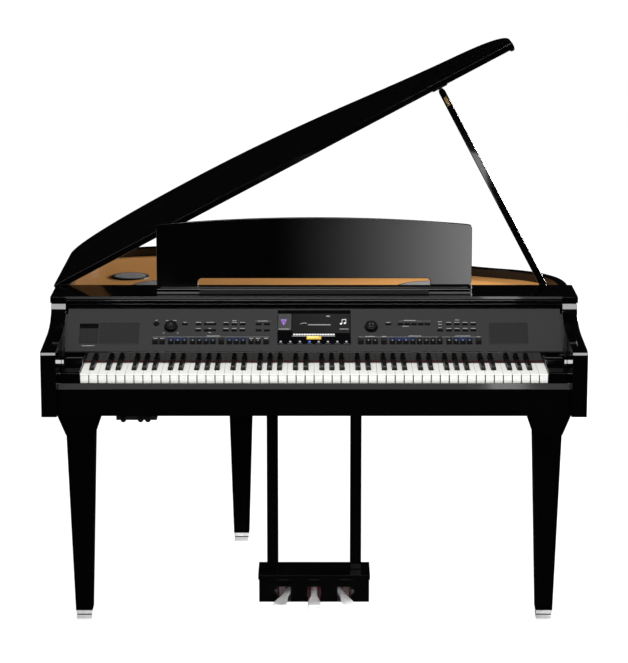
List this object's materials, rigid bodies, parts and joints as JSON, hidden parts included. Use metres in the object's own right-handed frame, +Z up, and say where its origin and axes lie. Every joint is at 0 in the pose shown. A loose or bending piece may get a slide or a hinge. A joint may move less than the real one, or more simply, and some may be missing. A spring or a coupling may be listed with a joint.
{
  "type": "digital grand piano",
  "caption": "Digital grand piano: polished case on legs, propped lid, sloped control panel, keyboard, music rest and pedal lyre; lid, keys, pedals and controls move.",
  "frame": {"origin": "on the floor, under the middle of the whole outline with the lid open", "axes": "+Z up, +Y from the player towards the tail, +X towards the treble end of the keyboard"},
  "size_m": [1.4372, 1.237, 1.6021],
  "materials": {
    "polished_ebony": "mirror gloss black polyester",
    "black_paint": "matte black paint",
    "spruce": "satin amber varnish",
    "white_key": "satin",
    "black_key": "satin",
    "panel_charcoal": "matte",
    "display_glass": "gloss",
    "button_black": "satin",
    "bright_metal": "polished",
    "hinge_brass": "polished",
    "speaker_black": "matte",
    "circuit_board": "satin"
  },
  "bodies": {
    "case": {"left_arm": "polished_ebony", "right_arm": "polished_ebony", "bass_side": "polished_ebony", "bent_rim": "polished_ebony", "top_board": "polished_ebony", "key_slip": "polished_ebony", "left_cheek_block": "polished_ebony", "right_cheek_block": "polished_ebony", "fallboard_strip": "polished_ebony", "music_ledge": "polished_ebony", "left_front_leg": "polished_ebony", "right_front_leg": "polished_ebony", "rear_leg": "polished_ebony", "lyre_posts": "polished_ebony", "pedal_box": "polished_ebony", "keybed": "black_paint", "bottom_board": "black_paint", "jack_box": "black_paint", "soundboard": "spruce", "white_keys": "white_key", "black_keys": "black_key", "control_panel": "panel_charcoal", "display": "display_glass", "left_front_ferrule": "bright_metal", "right_front_ferrule": "bright_metal", "rear_ferrule": "bright_metal", "stay_bracket": "bright_metal", "lid_hinge": "hinge_brass", "left_woofer": "speaker_black", "right_woofer": "speaker_black", "left_midrange": "speaker_black", "main_board": "circuit_board"},
    "lid": {"lid": "polished_ebony"},
    "prop_stay": {"prop_stay": "polished_ebony"},
    "key_cover": {"key_cover": "polished_ebony"},
    "music_rest": {"music_rest": "polished_ebony"},
    "left_rest_strut": {"left_rest_strut": "bright_metal"},
    "right_rest_strut": {"right_rest_strut": "bright_metal"},
    "left_pedal": {"left_pedal": "bright_metal"},
    "middle_pedal": {"middle_pedal": "bright_metal"},
    "right_pedal": {"right_pedal": "bright_metal"},
    "power_button": {"power_button": "button_black"},
    "volume_dial": {"volume_dial": "button_black"},
    "data_dial": {"data_dial": "button_black"},
    "lower_left_buttons": {"lower_left_buttons": "button_black"},
    "lower_right_buttons": {"lower_right_buttons": "button_black"},
    "upper_left_buttons": {"upper_left_buttons": "button_black"},
    "upper_right_buttons": {"upper_right_buttons": "button_black"},
    "key_c": {"key_c": "white_key"},
    "key_c_sharp": {"key_c_sharp": "black_key"},
    "key_d": {"key_d": "white_key"},
    "key_d_sharp": {"key_d_sharp": "black_key"},
    "key_e": {"key_e": "white_key"},
    "key_f": {"key_f": "white_key"},
    "key_f_sharp": {"key_f_sharp": "black_key"},
    "key_g": {"key_g": "white_key"},
    "key_g_sharp": {"key_g_sharp": "black_key"},
    "key_a": {"key_a": "white_key"},
    "key_a_sharp": {"key_a_sharp": "black_key"},
    "key_b": {"key_b": "white_key"}
  },
  "joints": [
    {"name": "lid_hinge_turn", "type": "hinge", "parent": "case", "child": "lid", "pos_m": [-0.71038, 0.1215, 0.9145], "axis": [0, -1, 0], "range_deg": [0, 6]},
    {"name": "stay_fold", "type": "hinge", "parent": "case", "child": "prop_stay", "pos_m": [0.65442, -0.124, 0.902], "axis": [0, -1, 0], "range_deg": [0, 61]},
    {"name": "key_cover_slide", "type": "slide", "parent": "case", "child": "key_cover", "axis": [0, -1, 0], "range_m": [0, 0.12]},
    {"name": "music_rest_tilt", "type": "hinge", "parent": "case", "child": "music_rest", "pos_m": [0.00412, -0.2323, 0.949], "axis": [1, 0, 0], "range_deg": [0, 12]},
    {"name": "left_strut_fold", "type": "hinge", "parent": "music_rest", "child": "left_rest_strut", "pos_m": [-0.38088, -0.2127, 1.015], "axis": [1, 0, 0], "range_deg": [0, 145]},
    {"name": "right_strut_fold", "type": "hinge", "parent": "music_rest", "child": "right_rest_strut", "pos_m": [0.38912, -0.2127, 1.015], "axis": [1, 0, 0], "range_deg": [0, 145]},
    {"name": "left_pedal_press", "type": "hinge", "parent": "case", "child": "left_pedal", "pos_m": [-0.06138, -0.0985, 0.0455], "axis": [0.9816, -0.1908, 0], "range_deg": [0, 5], "stiffness_Nm_per_rad": 12, "springref_deg": -14.32},
    {"name": "middle_pedal_press", "type": "hinge", "parent": "case", "child": "middle_pedal", "pos_m": [0.00412, -0.0985, 0.0455], "axis": [1, 0, 0], "range_deg": [0, 5], "stiffness_Nm_per_rad": 12, "springref_deg": -14.32},
    {"name": "right_pedal_press", "type": "hinge", "parent": "case", "child": "right_pedal", "pos_m": [0.06962, -0.0985, 0.0455], "axis": [0.9816, 0.1908, 0], "range_deg": [0, 5], "stiffness_Nm_per_rad": 12, "springref_deg": -14.32},
    {"name": "volume_turn", "type": "hinge", "parent": "case", "child": "volume_dial", "pos_m": [-0.38088, -0.36822, 0.85979], "axis": [0, -0.6288, 0.7776], "range_deg": [-150, 150]},
    {"name": "data_turn", "type": "hinge", "parent": "case", "child": "data_dial", "pos_m": [0.15762, -0.36861, 0.85947], "axis": [0, -0.6288, 0.7776], "continuous": true},
    {"name": "power_button_press", "type": "slide", "parent": "case", "child": "power_button", "axis": [0, 0.6288, -0.7776], "range_m": [0, 0.001], "stiffness_N_per_m": 600, "springref_m": -0.002},
    {"name": "lower_left_buttons_press", "type": "slide", "parent": "case", "child": "lower_left_buttons", "axis": [0, 0.6288, -0.7776], "range_m": [0, 0.0015], "stiffness_N_per_m": 600, "springref_m": -0.002},
    {"name": "lower_right_buttons_press", "type": "slide", "parent": "case", "child": "lower_right_buttons", "axis": [0, 0.6288, -0.7776], "range_m": [0, 0.0015], "stiffness_N_per_m": 600, "springref_m": -0.002},
    {"name": "upper_left_buttons_press", "type": "slide", "parent": "case", "child": "upper_left_buttons", "axis": [0, 0.6288, -0.7776], "range_m": [0, 0.0015], "stiffness_N_per_m": 600, "springref_m": -0.002},
    {"name": "upper_right_buttons_press", "type": "slide", "parent": "case", "child": "upper_right_buttons", "axis": [0, 0.6288, -0.7776], "range_m": [0, 0.0015], "stiffness_N_per_m": 600, "springref_m": -0.002},
    {"name": "key_c_press", "type": "hinge", "parent": "case", "child": "key_c", "pos_m": [0.00412, -0.3485, 0.764], "axis": [1, 0, 0], "range_deg": [0, 2.5], "stiffness_Nm_per_rad": 3, "springref_deg": -5.73},
    {"name": "key_c_sharp_press", "type": "hinge", "parent": "case", "child": "key_c_sharp", "pos_m": [0.00412, -0.3485, 0.764], "axis": [1, 0, 0], "range_deg": [0, 2.5], "stiffness_Nm_per_rad": 3, "springref_deg": -5.73},
    {"name": "key_d_press", "type": "hinge", "parent": "case", "child": "key_d", "pos_m": [0.00412, -0.3485, 0.764], "axis": [1, 0, 0], "range_deg": [0, 2.5], "stiffness_Nm_per_rad": 3, "springref_deg": -5.73},
    {"name": "key_d_sharp_press", "type": "hinge", "parent": "case", "child": "key_d_sharp", "pos_m": [0.00412, -0.3485, 0.764], "axis": [1, 0, 0], "range_deg": [0, 2.5], "stiffness_Nm_per_rad": 3, "springref_deg": -5.73},
    {"name": "key_e_press", "type": "hinge", "parent": "case", "child": "key_e", "pos_m": [0.00412, -0.3485, 0.764], "axis": [1, 0, 0], "range_deg": [0, 2.5], "stiffness_Nm_per_rad": 3, "springref_deg": -5.73},
    {"name": "key_f_press", "type": "hinge", "parent": "case", "child": "key_f", "pos_m": [0.00412, -0.3485, 0.764], "axis": [1, 0, 0], "range_deg": [0, 2.5], "stiffness_Nm_per_rad": 3, "springref_deg": -5.73},
    {"name": "key_f_sharp_press", "type": "hinge", "parent": "case", "child": "key_f_sharp", "pos_m": [0.00412, -0.3485, 0.764], "axis": [1, 0, 0], "range_deg": [0, 2.5], "stiffness_Nm_per_rad": 3, "springref_deg": -5.73},
    {"name": "key_g_press", "type": "hinge", "parent": "case", "child": "key_g", "pos_m": [0.00412, -0.3485, 0.764], "axis": [1, 0, 0], "range_deg": [0, 2.5], "stiffness_Nm_per_rad": 3, "springref_deg": -5.73},
    {"name": "key_g_sharp_press", "type": "hinge", "parent": "case", "child": "key_g_sharp", "pos_m": [0.00412, -0.3485, 0.764], "axis": [1, 0, 0], "range_deg": [0, 2.5], "stiffness_Nm_per_rad": 3, "springref_deg": -5.73},
    {"name": "key_a_press", "type": "hinge", "parent": "case", "child": "key_a", "pos_m": [0.00412, -0.3485, 0.764], "axis": [1, 0, 0], "range_deg": [0, 2.5], "stiffness_Nm_per_rad": 3, "springref_deg": -5.73},
    {"name": "key_a_sharp_press", "type": "hinge", "parent": "case", "child": "key_a_sharp", "pos_m": [0.00412, -0.3485, 0.764], "axis": [1, 0, 0], "range_deg": [0, 2.5], "stiffness_Nm_per_rad": 3, "springref_deg": -5.73},
    {"name": "key_b_press", "type": "hinge", "parent": "case", "child": "key_b", "pos_m": [0.00412, -0.3485, 0.764], "axis": [1, 0, 0], "range_deg": [0, 2.5], "stiffness_Nm_per_rad": 3, "springref_deg": -5.73}
  ]
}
